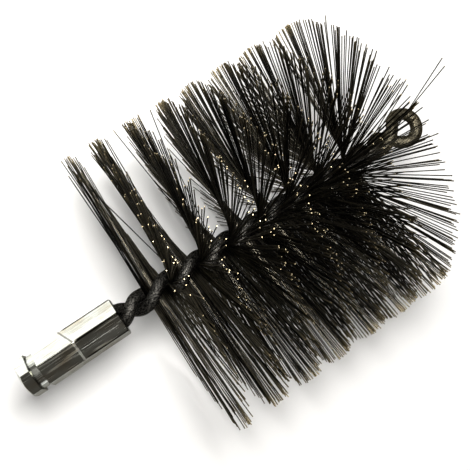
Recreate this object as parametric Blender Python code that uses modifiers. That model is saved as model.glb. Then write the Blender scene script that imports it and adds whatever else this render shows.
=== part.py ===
"""Steel tube brush: a twisted wire stem with an eye, its steel bristles, and a crimped hex coupling.

The brush is modelled standing along its own Z, coupling down and eye up, with Z = 0 at the first tuft.
A parent empty then lays it along the world's X, resting on its lowest bristles. All sizes are in metres.
"""

import math
import random

import bmesh
import bpy
from mathutils import Matrix, Vector

# The brush as a whole
BRUSH_RADIUS = 0.0625
REST_FLAT_DEPTH = 0.0005
FIT_GAP = 0.0003
CUT_OVERRUN = 0.002
MERGE_DISTANCE = 0.000001

# The stem: one wire, folded at the eye, its legs twisted left-handed
WIRE_RADIUS = 0.0026
TWIST_PITCH = 0.0278
BARE_TWIST_PITCH = 0.02
LEG_GAP = 0.00044
LEG_SPREAD_LENGTH = 0.0025
BARE_STEM_LENGTH = 0.0123
BARE_HALF_TURNS = 2.5
TWIST_EASE_LENGTH = 0.006
EYE_HOLE_RADIUS = 0.0035
EYE_REACH = 0.0037
EYE_TAPER = math.radians(40)
EYE_BLEND_LENGTH = 0.002
POINTS_PER_TURN = 22
EYE_POINTS_PER_TURN = 24
WIRE_BEVEL_STEPS = 2

# The bristles: a layer of wire clamped between the legs, in flights of half a turn
TUFTS_PER_SIDE = 8
LAYER_THICKNESS = 0.0008
LAYER_REACH = 0.0016
FIRST_TUFT_LEAD = 0.0035
LAST_TUFT_TAIL = 0.0005
STRANDS_PER_HALF_TURN = 28
STRAND_WIDTH = 0.0006
TRIM_SCATTER = 0.0004
LEAN_AT_LAST_TUFT = math.radians(4.7)
LEAN_SCATTER = math.radians(2.5)
BRISTLE_SEED = 7

# The coupling: hex bar, threaded at one end and crimped on the stem at the other
ACROSS_FLATS = 0.015
COUPLING_LENGTH = 0.042
COUPLING_TURN = math.radians(17)
BAR_EDGE_ROUND = 0.0004
END_FACE_INSET = 0.0004
END_CHAMFER_ANGLE = math.radians(30)
COLLAR_LENGTH = 0.0045
GROOVE_WIDTH = 0.0031
GROOVE_DEPTH = 0.0003
CRIMP_LENGTH = 0.0188
CRIMP_SQUEEZE = 0.0002
CRIMP_DISH = 0.00015
CRIMP_END_ROUND = 0.0016
CRIMP_ROUND_STEPS = 4
THREAD_BORE_RADIUS = 0.0051
THREAD_PITCH = 0.00175
THREAD_GROOVE_DEPTH = 0.00085
THREAD_GROOVE_INSET = 0.0001
THREAD_LENGTH = 0.0185
THREAD_POINTS_PER_TURN = 16
THREAD_RUNOUT = 0.001
DRILL_POINT_DEPTH = 0.0015
COUNTERSINK_WIDTH = 0.00105
WEB_THICKNESS = 0.003
ROUND_STEPS = 32

# Places along the stem that follow from the sizes above
HALF_PITCH = TWIST_PITCH / 2
BARE_LEG_RADIUS = WIRE_RADIUS + LEG_GAP / 2
CLAMPED_LEG_RADIUS = WIRE_RADIUS + FIT_GAP + LAYER_THICKNESS / 2
LAYER_HALF_WIDTH = WIRE_RADIUS + LAYER_REACH
LAST_TUFT = (TUFTS_PER_SIDE - 1) * HALF_PITCH
FIRST_BRISTLE = -FIRST_TUFT_LEAD
LAST_BRISTLE = LAST_TUFT + LAST_TUFT_TAIL
CLAMP_START = FIRST_BRISTLE - LEG_SPREAD_LENGTH
CLAMP_END = LAST_BRISTLE + LEG_SPREAD_LENGTH
COUPLING_TOP = FIRST_BRISTLE - BARE_STEM_LENGTH
COUPLING_FOOT = COUPLING_TOP - COUPLING_LENGTH
FLAT_RADIUS = ACROSS_FLATS / 2
CORNER_RADIUS = ACROSS_FLATS / math.sqrt(3)
BORE_DEPTH = THREAD_LENGTH + THREAD_RUNOUT
STEM_SOCKET_DEPTH = COUPLING_LENGTH - BORE_DEPTH - DRILL_POINT_DEPTH - WEB_THICKNESS
LEG_SLOPE = math.atan(2 * math.pi * BARE_LEG_RADIUS / BARE_TWIST_PITCH)
STEM_FOOT = COUPLING_TOP - STEM_SOCKET_DEPTH + WIRE_RADIUS * math.sin(LEG_SLOPE) + FIT_GAP
TIGHTENING = TWIST_PITCH / BARE_TWIST_PITCH
NECK = CLAMP_END + (LAST_TUFT + BARE_HALF_TURNS * HALF_PITCH - CLAMP_END) / TIGHTENING
EYE_CENTRE = NECK + EYE_REACH
EYE_RADIUS = EYE_HOLE_RADIUS + WIRE_RADIUS
EASE_START = NECK - TWIST_EASE_LENGTH / 2
AXIS_HEIGHT = BRUSH_RADIUS - REST_FLAT_DEPTH


def clear_scene():
    for obj in list(bpy.data.objects):
        bpy.data.objects.remove(obj)


def new_collection(name):
    collection = bpy.data.collections.new(name)
    bpy.context.scene.collection.children.link(collection)
    return collection


def steel(name, colour, roughness):
    """A bare or plated steel."""
    material = bpy.data.materials.new(name)
    material.use_nodes = True
    shader = material.node_tree.nodes["Principled BSDF"]
    shader.inputs["Base Color"].default_value = (*colour, 1)
    shader.inputs["Metallic"].default_value = 1
    shader.inputs["Roughness"].default_value = roughness
    return material


def add_object(name, data, collection, axis):
    """An object on the brush's axis."""
    obj = bpy.data.objects.new(name, data)
    obj.parent = axis
    collection.objects.link(obj)
    return obj


def add_cutter(name, data, axis):
    cutter = add_object(name, data, bpy.data.collections["cutters"], axis)
    cutter.hide_render = True
    cutter.display_type = "WIRE"
    return cutter


def mesh_from(bm, name):
    mesh = bpy.data.meshes.new(name)
    bm.to_mesh(mesh)
    bm.free()
    return mesh


def combine(obj, other, operation):
    modifier = obj.modifiers.new(other.name, "BOOLEAN")
    modifier.operation = operation
    modifier.solver = "EXACT"
    modifier.object = other


def turned_cutter(name, profile, axis):
    """A turned shape. The profile is (radius, height) pairs from the top of its axis, out, and down."""
    bm = bmesh.new()
    points = [bm.verts.new((radius, 0, height)) for radius, height in profile]
    for upper, lower in zip(points, points[1:]):
        bm.edges.new((upper, lower))
    cutter = add_cutter(name, mesh_from(bm, name), axis)
    screw = cutter.modifiers.new("turn", "SCREW")
    screw.steps = screw.render_steps = ROUND_STEPS
    screw.use_merge_vertices = True
    screw.merge_threshold = MERGE_DISTANCE
    return cutter


def mesh_cutter_from_curve(name, curve, axis):
    """A cutter made from a curve: its mesh, with the loose caps welded on."""
    guide = bpy.data.objects.new(name, curve)
    bpy.context.scene.collection.objects.link(guide)
    graph = bpy.context.evaluated_depsgraph_get()
    mesh = bpy.data.meshes.new_from_object(guide.evaluated_get(graph))
    bpy.data.objects.remove(guide)
    bm = bmesh.new()
    bm.from_mesh(mesh)
    bmesh.ops.remove_doubles(bm, verts=bm.verts, dist=MERGE_DISTANCE)
    bmesh.ops.recalc_face_normals(bm, faces=bm.faces)
    bm.to_mesh(mesh)
    bm.free()
    return add_cutter(name, mesh, axis)


def shade(obj):
    obj.data.shade_smooth()
    obj.data.set_sharp_from_angle(angle=math.radians(30))


def twist_at(height):
    """How far the legs and the layer have turned at this height. The twist is left-handed. It is
    tighter where the legs are bare, and slows to nothing round the neck, where they open into the eye."""
    full_rate = -2 * math.pi / TWIST_PITCH
    beyond = min(max(height - EASE_START, 0), TWIST_EASE_LENGTH)
    eased = min(height, EASE_START) + beyond - beyond**2 / (2 * TWIST_EASE_LENGTH)
    clamped = min(max(eased, CLAMP_START), CLAMP_END)
    return full_rate * (clamped + (eased - clamped) * TIGHTENING)


def leg_radius_at(height):
    """How far a leg's middle lies from the axis: close when bare, wider round the bristle layer, and
    then out along a straight taper to the eye."""
    inside = min(height - CLAMP_START, CLAMP_END - height)
    spread = min(max(inside / LEG_SPREAD_LENGTH, 0), 1)
    clamped = BARE_LEG_RADIUS + (CLAMPED_LEG_RADIUS - BARE_LEG_RADIUS) * spread**2 * (3 - 2 * spread)
    touch = EYE_CENTRE - EYE_RADIUS * math.sin(EYE_TAPER)
    slope = math.tan(EYE_TAPER)
    bend = touch - (EYE_RADIUS * math.cos(EYE_TAPER) - BARE_LEG_RADIUS) / slope
    past = height - (bend - EYE_BLEND_LENGTH)
    if past <= 0:
        return clamped
    if past < 2 * EYE_BLEND_LENGTH:
        return clamped + slope * past**2 / (4 * EYE_BLEND_LENGTH)
    return clamped + slope * (height - bend)


def leg_points():
    """One leg's middle line, from its end in the coupling to where it meets the round of the eye."""
    last = EYE_CENTRE - EYE_RADIUS * math.sin(EYE_TAPER)
    steps = round((last - STEM_FOOT) / TWIST_PITCH * POINTS_PER_TURN)
    points = []
    for step in range(steps + 1):
        height = STEM_FOOT + (last - STEM_FOOT) * step / steps
        radius, turn = leg_radius_at(height), twist_at(height)
        points.append(Vector((radius * math.cos(turn), radius * math.sin(turn), height)))
    return points


def eye_points():
    """The round of the eye, between its two tangent points. The last of the twist is still in its foot."""
    sweep = math.pi + 2 * EYE_TAPER
    steps = round(sweep / math.tau * EYE_POINTS_PER_TURN)
    points = []
    for step in range(1, steps):
        angle = -EYE_TAPER + sweep * step / steps
        out = EYE_RADIUS * math.cos(angle)
        height = EYE_CENTRE + EYE_RADIUS * math.sin(angle)
        turn = twist_at(height)
        points.append(Vector((out * math.cos(turn), out * math.sin(turn), height)))
    return points


def least_leg_gap(leg, other):
    """The least gap between the two legs' surfaces, measured between their middle lines."""
    apart = min((a - b).length for a in leg for b in other if max(a.z, b.z) < NECK)
    return apart - 2 * WIRE_RADIUS


def stem_wire(collection, axis, material):
    leg = leg_points()
    other = [Vector((-point.x, -point.y, point.z)) for point in leg]
    print(f"stem_wire: least gap to itself {1000 * least_leg_gap(leg, other):.2f} mm")
    route = leg + eye_points() + other[::-1]
    curve = bpy.data.curves.new("stem_wire", "CURVE")
    curve.dimensions = "3D"
    curve.bevel_depth = WIRE_RADIUS
    curve.bevel_resolution = WIRE_BEVEL_STEPS
    curve.use_fill_caps = True
    spline = curve.splines.new("POLY")
    spline.points.add(len(route) - 1)
    for point, place in zip(spline.points, route):
        point.co = (*place, 1)
    curve.materials.append(material)
    return add_object("stem_wire", curve, collection, axis)


def turned(point, height):
    """The point of the untwisted layer, turned as the twist has turned it at this height."""
    return Matrix.Rotation(twist_at(height), 3, "Z") @ point


def steady_lean_at(height):
    """How far the bristles lean towards the eye: a little more with each tuft."""
    return LEAN_AT_LAST_TUFT * height / LAST_TUFT


def strand_tip(root, filament):
    """Where a strand from this root ends, and the direction across it in the plane of the axis. Its
    filament goes right through the stem, so both its ends are trimmed and bent alike."""
    side = math.copysign(1, root.y)
    chance = random.Random(f"{BRISTLE_SEED} {filament}")
    steady = steady_lean_at(root.z)
    lean = steady + LEAN_SCATTER * chance.uniform(-1, 1)
    trim = TRIM_SCATTER * chance.random()
    length = (BRUSH_RADIUS - LAYER_HALF_WIDTH - trim) / math.cos(steady)
    out = Vector((0, side * math.cos(lean), math.sin(lean)))
    across = Vector((0, -side * math.sin(lean), math.cos(lean)))
    return root + length * out, across


def flight_mesh(name, first, last):
    """One flight: a slice of the twisted layer between two heights, with a strand drawn out of every
    second face of its two rims."""
    strands = round((last - first) / HALF_PITCH * STRANDS_PER_HALF_TURN)
    columns = 2 * strands + 1
    bm = bmesh.new()
    bmesh.ops.create_cube(bm, size=1)
    long_edges = [edge for edge in bm.edges if abs(edge.verts[0].co.z - edge.verts[1].co.z) > 0.5]
    bmesh.ops.subdivide_edges(bm, edges=long_edges, cuts=columns - 1, use_grid_fill=True)
    bmesh.ops.scale(bm, vec=(LAYER_THICKNESS, 2 * LAYER_HALF_WIDTH, last - first), verts=bm.verts)
    bmesh.ops.translate(bm, vec=(0, 0, (first + last) / 2), verts=bm.verts)

    def column_of(face):
        return int((face.calc_center_median().z - first) / (last - first) * columns)

    def on_rim(face):
        return abs(abs(face.calc_center_median().y) - LAYER_HALF_WIDTH) < LAYER_REACH / 2

    rooted = [face for face in bm.faces if on_rim(face) and column_of(face) % 2]
    tips = bmesh.ops.extrude_discrete_faces(bm, faces=rooted)["faces"]
    places = {}
    for face in tips:
        root = face.calc_center_median()
        tip, across = strand_tip(root, f"{name} {column_of(face)}")
        for vert in face.verts:
            wide = math.copysign(STRAND_WIDTH / 2, vert.co.x)
            deep = math.copysign(STRAND_WIDTH / 2, vert.co.z - root.z)
            places[vert] = turned(tip + deep * across + Vector((wide, 0, 0)), root.z)
    for vert in bm.verts:
        vert.co = places.get(vert) or turned(vert.co, vert.co.z)
    bmesh.ops.recalc_face_normals(bm, faces=bm.faces)
    return mesh_from(bm, name), len(tips)


def rest_plane_cutter(axis):
    """A block under the plane that the brush lies on. The plane is this far from the axis, along +X
    of the standing brush, which the parent empty turns downwards."""
    bm = bmesh.new()
    bmesh.ops.create_cube(bm, size=1)
    length = LAST_BRISTLE - FIRST_BRISTLE + 4 * BRUSH_RADIUS
    depth = REST_FLAT_DEPTH + 2 * CUT_OVERRUN
    bmesh.ops.scale(bm, vec=(depth, 2 * BRUSH_RADIUS, length), verts=bm.verts)
    middle = (FIRST_BRISTLE + LAST_BRISTLE) / 2
    bmesh.ops.translate(bm, vec=(AXIS_HEIGHT + depth / 2, 0, middle), verts=bm.verts)
    return add_cutter("rest_plane", mesh_from(bm, "rest_plane"), axis)


def bristle_flights(collection, axis, material):
    """The layer in flights of half a turn, each centred on a tuft."""
    rest_plane = rest_plane_cutter(axis)
    total = 0
    for tuft in range(TUFTS_PER_SIDE):
        first = max(FIRST_BRISTLE, (tuft - 0.5) * HALF_PITCH + FIT_GAP / 2)
        last = min(LAST_BRISTLE, (tuft + 0.5) * HALF_PITCH - FIT_GAP / 2)
        name = f"bristle_flight_{tuft + 1}"
        mesh, strands = flight_mesh(name, first, last)
        mesh.materials.append(material)
        combine(add_object(name, mesh, collection, axis), rest_plane, "DIFFERENCE")
        total += strands
    print(f"bristles: {total} strands in {TUFTS_PER_SIDE} flights")


def coupling_envelope(axis):
    """The turned outline of the coupling: its chamfered foot, its groove and its rounded top."""
    clear = CORNER_RADIUS + CUT_OVERRUN
    face = FLAT_RADIUS - END_FACE_INSET
    chamfer = (clear - face) * math.tan(END_CHAMFER_ANGLE)
    groove = COUPLING_FOOT + COLLAR_LENGTH
    profile = [(0, COUPLING_TOP)]
    for step in range(CRIMP_ROUND_STEPS + 1):
        angle = math.pi / 2 * (1 - step / CRIMP_ROUND_STEPS)
        radius = CORNER_RADIUS - CRIMP_END_ROUND * (1 - math.cos(angle))
        profile.append((radius, COUPLING_TOP - CRIMP_END_ROUND * (1 - math.sin(angle))))
    profile += [
        (clear, COUPLING_TOP - CRIMP_END_ROUND),
        (clear, groove + GROOVE_WIDTH),
        (FLAT_RADIUS - GROOVE_DEPTH, groove + GROOVE_WIDTH),
        (FLAT_RADIUS - GROOVE_DEPTH, groove),
        (clear, groove),
        (clear, COUPLING_FOOT + chamfer),
        (face, COUPLING_FOOT),
        (0, COUPLING_FOOT),
    ]
    return turned_cutter("coupling_envelope", profile, axis)


def crimp_dies(axis):
    """The ring that the crimping dies close to: a hexagon inside, each side bowed in a little."""
    outer = []
    for step in range(ROUND_STEPS):
        angle = math.tau * step / ROUND_STEPS
        outer.append((ACROSS_FLATS * math.cos(angle), ACROSS_FLATS * math.sin(angle)))
    flat = FLAT_RADIUS - CRIMP_SQUEEZE
    corner = flat / math.cos(math.pi / 6)
    inner = []
    for side in range(6):
        for radius, turn in ((corner, 30), (flat - CRIMP_DISH, 60)):
            angle = math.radians(turn + 60 * side)
            inner.append((radius * math.cos(angle), radius * math.sin(angle)))
    curve = bpy.data.curves.new("crimp_dies", "CURVE")
    curve.dimensions = "2D"
    curve.fill_mode = "BOTH"
    curve.extrude = (CRIMP_LENGTH + CUT_OVERRUN) / 2
    for outline in (outer, inner):
        spline = curve.splines.new("POLY")
        spline.points.add(len(outline) - 1)
        spline.use_cyclic_u = True
        for point, (x, y) in zip(spline.points, outline):
            point.co = (x, y, 0, 1)
    cutter = mesh_cutter_from_curve("crimp_dies", curve, axis)
    cutter.location.z = COUPLING_TOP - CRIMP_LENGTH + curve.extrude
    cutter.rotation_euler.z = COUPLING_TURN
    return cutter


def thread_bore(axis):
    """The drilled bore under the thread, with its countersunk mouth and the cone that a drill leaves."""
    end = COUPLING_FOOT + BORE_DEPTH
    profile = [
        (0, end + DRILL_POINT_DEPTH),
        (THREAD_BORE_RADIUS, end),
        (THREAD_BORE_RADIUS, COUPLING_FOOT + COUNTERSINK_WIDTH),
        (THREAD_BORE_RADIUS + COUNTERSINK_WIDTH + CUT_OVERRUN, COUPLING_FOOT - CUT_OVERRUN),
        (0, COUPLING_FOOT - CUT_OVERRUN),
    ]
    return turned_cutter("thread_bore", profile, axis)


def thread_groove(axis):
    """The thread's groove: a four-sided wire wound right-handed just inside the bore's wall, so that
    only its outer edge cuts."""
    radius = THREAD_BORE_RADIUS - THREAD_GROOVE_INSET
    turns = (THREAD_LENGTH + THREAD_PITCH) / THREAD_PITCH
    steps = round(turns * THREAD_POINTS_PER_TURN)
    curve = bpy.data.curves.new("thread_groove", "CURVE")
    curve.dimensions = "3D"
    curve.bevel_depth = THREAD_GROOVE_DEPTH
    curve.bevel_resolution = 0
    curve.use_fill_caps = True
    curve.twist_mode = "Z_UP"
    spline = curve.splines.new("POLY")
    spline.points.add(steps)
    for step, point in enumerate(spline.points):
        angle = math.tau * step / THREAD_POINTS_PER_TURN
        height = COUPLING_FOOT + THREAD_PITCH * (step / THREAD_POINTS_PER_TURN - 1)
        point.co = (radius * math.cos(angle), radius * math.sin(angle), height, 1)
    return mesh_cutter_from_curve("thread_groove", curve, axis)


def stem_socket(axis):
    """The bore that the stem's two legs are crimped in."""
    radius = BARE_LEG_RADIUS + WIRE_RADIUS + FIT_GAP
    mouth = COUPLING_TOP + CUT_OVERRUN
    foot = COUPLING_TOP - STEM_SOCKET_DEPTH
    return turned_cutter("stem_socket", [(0, mouth), (radius, mouth), (radius, foot), (0, foot)], axis)


def hex_coupling(collection, axis, material):
    bm = bmesh.new()
    length = COUPLING_LENGTH + 2 * CUT_OVERRUN
    corners = {"radius1": CORNER_RADIUS, "radius2": CORNER_RADIUS}
    bmesh.ops.create_cone(bm, cap_ends=True, segments=6, depth=length, **corners)
    bmesh.ops.rotate(bm, matrix=Matrix.Rotation(COUPLING_TURN, 3, "Z"), verts=bm.verts)
    bmesh.ops.translate(bm, vec=(0, 0, (COUPLING_FOOT + COUPLING_TOP) / 2), verts=bm.verts)
    coupling = add_object("hex_coupling", mesh_from(bm, "hex_coupling"), collection, axis)
    coupling.data.materials.append(material)
    bevel = coupling.modifiers.new("edge_round", "BEVEL")
    bevel.width = BAR_EDGE_ROUND
    bevel.segments = 2
    combine(coupling, coupling_envelope(axis), "INTERSECT")
    for cutter in (crimp_dies(axis), thread_bore(axis), thread_groove(axis), stem_socket(axis)):
        combine(coupling, cutter, "DIFFERENCE")
    shade(coupling)
    return coupling


def top_of(obj):
    """The greatest height that an object's surface reaches on the standing brush."""
    evaluated = obj.evaluated_get(bpy.context.evaluated_depsgraph_get())
    top = max(vert.co.z for vert in evaluated.to_mesh().vertices)
    evaluated.to_mesh_clear()
    return top


def main():
    clear_scene()
    parts = new_collection("tube_brush")
    new_collection("cutters")
    axis = bpy.data.objects.new("brush_axis", None)
    parts.objects.link(axis)

    zinc = steel("zinc_plate", (0.72, 0.73, 0.68), 0.28)
    dark_wire = steel("dark_stem_wire", (0.12, 0.10, 0.08), 0.42)
    bristle = steel("bristle_wire", (0.07, 0.065, 0.06), 0.38)
    hex_coupling(parts, axis, zinc)
    stem = stem_wire(parts, axis, dark_wire)
    bristle_flights(parts, axis, bristle)

    middle = (COUPLING_FOOT + top_of(stem)) / 2
    axis.location = (-middle, 0, AXIS_HEIGHT)
    axis.rotation_euler = (0, math.radians(90), 0)
    print(f"brush_axis: first tuft at x {-1000 * middle:.2f} mm, axis {1000 * AXIS_HEIGHT:.2f} mm up")


main()
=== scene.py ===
# %% [markdown]
# # A steel tube brush
# This brush is pushed through a tube on the end of a rod. It has three kinds of piece: one steel wire,
# folded into an eye and twisted; some thousands of short bristle wires that the twist clamps; and a zinc
# plated hex coupling, crimped on the twisted end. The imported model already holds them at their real
# size, and this lesson dresses it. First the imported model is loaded, and its box is kept for the end.

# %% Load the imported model
import math

import bpy
from mathutils import Euler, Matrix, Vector


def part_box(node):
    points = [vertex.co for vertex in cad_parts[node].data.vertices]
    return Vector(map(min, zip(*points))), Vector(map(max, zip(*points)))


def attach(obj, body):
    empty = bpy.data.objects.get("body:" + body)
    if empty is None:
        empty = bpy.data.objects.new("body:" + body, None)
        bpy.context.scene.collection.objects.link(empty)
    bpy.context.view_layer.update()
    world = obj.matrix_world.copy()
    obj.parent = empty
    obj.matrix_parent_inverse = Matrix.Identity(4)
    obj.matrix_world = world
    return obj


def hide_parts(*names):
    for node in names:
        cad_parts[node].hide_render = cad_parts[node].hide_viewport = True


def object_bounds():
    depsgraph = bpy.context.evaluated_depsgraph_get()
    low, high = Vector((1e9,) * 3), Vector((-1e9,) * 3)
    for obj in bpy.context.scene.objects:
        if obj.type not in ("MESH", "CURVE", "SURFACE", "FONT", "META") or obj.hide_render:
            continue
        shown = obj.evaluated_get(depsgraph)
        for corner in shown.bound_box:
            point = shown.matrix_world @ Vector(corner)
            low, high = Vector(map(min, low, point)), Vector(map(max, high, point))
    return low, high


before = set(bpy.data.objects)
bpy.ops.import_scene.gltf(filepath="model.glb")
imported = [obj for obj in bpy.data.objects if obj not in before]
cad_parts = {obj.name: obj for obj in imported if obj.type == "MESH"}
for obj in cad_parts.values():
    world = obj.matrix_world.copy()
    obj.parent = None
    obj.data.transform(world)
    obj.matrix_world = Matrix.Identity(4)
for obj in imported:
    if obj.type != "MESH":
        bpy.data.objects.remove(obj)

cad_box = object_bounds()
coupling_low, coupling_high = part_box("hex_coupling")
print("nodes in the model:", len(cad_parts))
print("model size in mm:", [round(1000 * size, 1) for size in cad_box[1] - cad_box[0]])

# %% [markdown]
# ## Places along the brush
# Everything sits on one line, the brush's axis, which lies along X. The first tuft of bristles is a good
# place to count from, so a "height" below is a distance from it towards the eye. The coupling's box in
# the model says where the axis is, and the real sizes give the rest.

# %% The axis and the sizes that everything shares
COUPLING_LENGTH = 0.042
COUPLING_TO_FIRST_TUFT = 0.0158
WIRE_RADIUS = 0.0026
TWIST_PITCH = 0.0278
TUFTS_PER_SIDE = 8
HALF_PITCH = TWIST_PITCH / 2
FIRST_TUFT_LEAD, LAST_TUFT_TAIL = 0.0035, 0.0005
FIRST_BRISTLE = -FIRST_TUFT_LEAD
LAST_BRISTLE = (TUFTS_PER_SIDE - 1) * HALF_PITCH + LAST_TUFT_TAIL
COUPLING_TOP = -COUPLING_TO_FIRST_TUFT
COUPLING_FOOT = COUPLING_TOP - COUPLING_LENGTH
AXIS_X = coupling_low.x - COUPLING_FOOT
AXIS_Z = (coupling_low.z + coupling_high.z) / 2


def place(height, radius, turn):
    """The point at this height along the brush, this far from its axis, and turned this far round it,
    from +Y towards +Z."""
    return Vector((AXIS_X + height, radius * math.cos(turn), AXIS_Z + radius * math.sin(turn)))


print(f"first tuft at x {1000 * AXIS_X:.1f} mm, axis {1000 * AXIS_Z:.1f} mm above the floor")

# %% [markdown]
# ## Node trees from short formulas
# Bristles and wire follow rules, so Geometry Nodes make them. A tree of a hundred Math nodes is hard to
# read as code, so a small class stands for "a number in a tree": adding or multiplying two of them adds
# the Math node that does it. The formulas below then read as they would on paper.

# %% Helpers that add nodes and join them
def add_node(tree, kind, settings=None, inputs=None):
    """A node with its settings, and its inputs set to values or joined to other nodes' outputs."""
    node = tree.nodes.new(kind)
    for name, value in (settings or {}).items():
        setattr(node, name, value)
    for name, value in (inputs or {}).items():
        join(tree, value, shown(node.inputs, name))
    return node


def shown(sockets, name):
    """The socket of this name. A node may hold several of one name, of which it shows one."""
    return next(socket for socket in sockets if socket.name == name and socket.enabled)


def join(tree, value, socket):
    """Sets an input to a plain value, or links it to an output or a formula."""
    value = getattr(value, "socket", value)
    if isinstance(value, bpy.types.NodeSocket):
        tree.links.new(value, socket)
    else:
        socket.default_value = value


print("helpers for nodes ready")

# %% A number in a node tree
class Formula:
    """A number in a node tree. Sums of it become Math nodes."""

    def __init__(self, tree, socket):
        self.tree, self.socket = tree, socket

    def math(self, operation, *others):
        node = self.tree.nodes.new("ShaderNodeMath")
        node.operation = operation
        for value, socket in zip((self, *others), node.inputs):
            join(self.tree, value, socket)
        return Formula(self.tree, node.outputs[0])

    def __add__(self, other):
        return self.math("ADD", other)

    def __sub__(self, other):
        return self.math("SUBTRACT", other)

    def __mul__(self, other):
        return self.math("MULTIPLY", other)

    def __truediv__(self, other):
        return self.math("DIVIDE", other)

    def at_least(self, other):
        return self.math("MAXIMUM", other)

    def at_most(self, other):
        return self.math("MINIMUM", other)


print("formulas ready")

# %% [markdown]
# ## Steel finishes
# Three steels are seen. The stem is drawn wire, oiled and dark, with a fine grain that breaks up its
# highlight, and it turns olive round the eye. The bristles are spring steel: some in every tuft are
# nearly black and some brighter, and all have bright ends where they were cut; a golden sheen is
# painted on the last stretch of each. The coupling is bright zinc plate, with scratches along it from
# the drawn bar and cloudy, faintly yellow patches. All three are metals, so most of their look is what
# they reflect, and roughness matters most. An edge tint well below white makes them darker at a low
# angle, as oil and dirt do.
#
# Some of this belongs to the piece and not to a place in space. Each bristle has a tone of its own, and
# the zinc is painted dark along the crimp's corners and rim, in the die's step, on the foot's side of
# the groove and on the three lower flats, which is painted shade and painted dark reflection, with a
# little wear over the rest of the crimp. The meshes carry such things as attributes, which are numbers
# stored at their points, and the materials below read them by name.

# %% A material and its first nodes
def new_material(name):
    """A material with its shader, and the coordinates of the object it is on."""
    material = bpy.data.materials.new(name)
    material.use_nodes = True
    tree = material.node_tree
    shader = tree.nodes["Principled BSDF"]
    shader.inputs["Metallic"].default_value = 1
    coordinates = add_node(tree, "ShaderNodeTexCoord").outputs["Object"]
    return material, tree, shader, coordinates


def noise(tree, coordinates, scale, stretch=(1, 1, 1), detail=3):
    """Noise with this many grains to a metre, drawn out where a stretch is small."""
    mapping = add_node(tree, "ShaderNodeMapping", inputs={"Vector": coordinates, "Scale": stretch})
    inputs = {"Vector": mapping.outputs["Vector"], "Scale": scale, "Detail": detail}
    return add_node(tree, "ShaderNodeTexNoise", inputs=inputs).outputs["Fac"]


def stored(tree, name):
    """The numbers that the mesh carries under this name."""
    node = add_node(tree, "ShaderNodeAttribute", {"attribute_name": name})
    return Formula(tree, node.outputs["Fac"])


def ramp(tree, factor, stops):
    """A colour ramp, from (place, colour) pairs."""
    node = add_node(tree, "ShaderNodeValToRGB", inputs={"Fac": factor})
    elements = node.color_ramp.elements
    while len(elements) < len(stops):
        elements.new(1)
    for element, (position, colour) in zip(elements, stops):
        element.position = position
        element.color = (*colour, 1)
    return node.outputs["Color"]


def mix(tree, factor, first, second, mode="MIX"):
    """The first colour, with this share of the second mixed in or multiplied on."""
    settings = {"data_type": "RGBA", "blend_type": mode}
    node = add_node(tree, "ShaderNodeMix", settings, {"Factor": factor, "A": first, "B": second})
    return shown(node.outputs, "Result")


def bump(tree, height, distance, strength, below=None):
    """Dents of this depth, on top of others where given."""
    inputs = {"Height": height, "Distance": distance, "Strength": strength}
    if below:
        inputs["Normal"] = below
    return add_node(tree, "ShaderNodeBump", inputs=inputs).outputs["Normal"]


def span(tree, factor, first, last, start=0, end=1):
    """A factor that grows from start to end, spread from the first value to the last."""
    inputs = {"Value": factor, "From Min": start, "From Max": end, "To Min": first, "To Max": last}
    return add_node(tree, "ShaderNodeMapRange", inputs=inputs).outputs["Result"]


print("helpers for materials ready")

# %% Dark drawn wire of the stem
BLACK_OIL = [(0.42, (0.004, 0.004, 0.004)), (0.64, (0.09, 0.086, 0.078))]
OLIVE_OIL = [(0.35, (0.028, 0.025, 0.018)), (0.7, (0.14, 0.124, 0.088))]
OLIVE_FROM, OLIVE_TO = 0.1048, 0.1148
OILED_EDGE_TINT = (0.25, 0.24, 0.22, 1)
SMOOTHEST_WIRE, ROUGHEST_WIRE = 0.25, 0.6
GRAIN_DEPTH = 0.0004
stem_steel, tree, shader, coordinates = new_material("dark_drawn_wire")
grain = noise(tree, coordinates, scale=1700, detail=4)
along_axis = add_node(tree, "ShaderNodeSeparateXYZ", inputs={"Vector": coordinates}).outputs["X"]
near_eye = span(tree, along_axis, 0, 1, start=AXIS_X + OLIVE_FROM, end=AXIS_X + OLIVE_TO)
oiled = mix(tree, near_eye, ramp(tree, grain, BLACK_OIL), ramp(tree, grain, OLIVE_OIL))
join(tree, oiled, shader.inputs["Base Color"])
shader.inputs["Specular Tint"].default_value = OILED_EDGE_TINT
join(tree, span(tree, grain, SMOOTHEST_WIRE, ROUGHEST_WIRE), shader.inputs["Roughness"])
join(tree, bump(tree, grain, distance=GRAIN_DEPTH, strength=0.8), shader.inputs["Normal"])
print("finish:", stem_steel.name)

# %% Near-black spring steel of the bristles
SPRING_STEELS = [(0.6, (0.007, 0.007, 0.007)), (0.98, (0.046, 0.043, 0.037)), (1, (0.07, 0.063, 0.048))]
MARKS_SHARE = 0.8
# Painted sheen: a golden colour mixed into the last stretch of every strand, where the wire catches light.
PAINTED_SHEEN = (0.34, 0.27, 0.14, 1)
PAINTED_SHEEN_FROM, PAINTED_SHEEN_SHARE = 0.88, 0.3
SPRING_EDGE_TINT = (0.54, 0.52, 0.47, 1)
ROUGHEST_BRISTLE, SMOOTHEST_BRISTLE = 0.42, 0.25
bristle_steel, tree, shader, coordinates = new_material("black_spring_steel")
marks = noise(tree, coordinates, scale=420, detail=2)
brightness = Formula(tree, marks) * MARKS_SHARE + stored(tree, "tone")
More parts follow.
